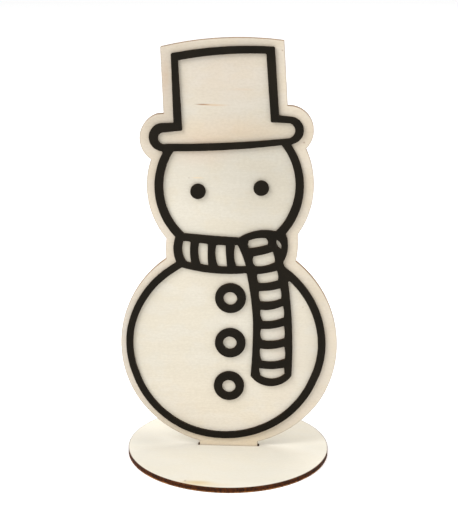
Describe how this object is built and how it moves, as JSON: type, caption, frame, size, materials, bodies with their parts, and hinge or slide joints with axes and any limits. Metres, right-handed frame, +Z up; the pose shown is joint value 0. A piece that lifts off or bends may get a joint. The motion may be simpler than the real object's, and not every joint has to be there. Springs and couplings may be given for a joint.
{
  "type": "standing wooden snowman figure",
  "caption": "Flat plywood snowman with a glued-on black line drawing, standing by a tab in a slotted round base.",
  "frame": {"origin": "on the table under the middle of the round base", "axes": "+Z up, figure faces -Y, +X to the viewer's right"},
  "size_m": [0.1166, 0.11, 0.2262],
  "materials": {
    "plywood_face": "bare pale plywood, sanded",
    "plywood_core": "bare plywood core, laser-browned at the cut edge",
    "black_paint": "thin laser-cut wood with matt black paint",
    "adhesive": "thin adhesive film"
  },
  "bodies": {
    "base": {"base_bottom_veneer": "plywood_face", "base_core_veneer": "plywood_core", "base_top_veneer": "plywood_face"},
    "figure": {"panel_back_veneer": "plywood_face", "panel_core_veneer": "plywood_core", "panel_front_veneer": "plywood_face", "outline_frame": "black_paint", "eye_left": "black_paint", "eye_right": "black_paint", "button_upper": "black_paint", "button_middle": "black_paint", "button_lower": "black_paint", "outline_glue_film": "adhesive", "eye_glue_dots": "adhesive", "button_glue_rings": "adhesive"}
  },
  "joints": [
    {"name": "figure_lift", "type": "slide", "parent": "base", "child": "figure", "axis": [0, 0, 1], "range_m": [0, 0.025]}
  ]
}
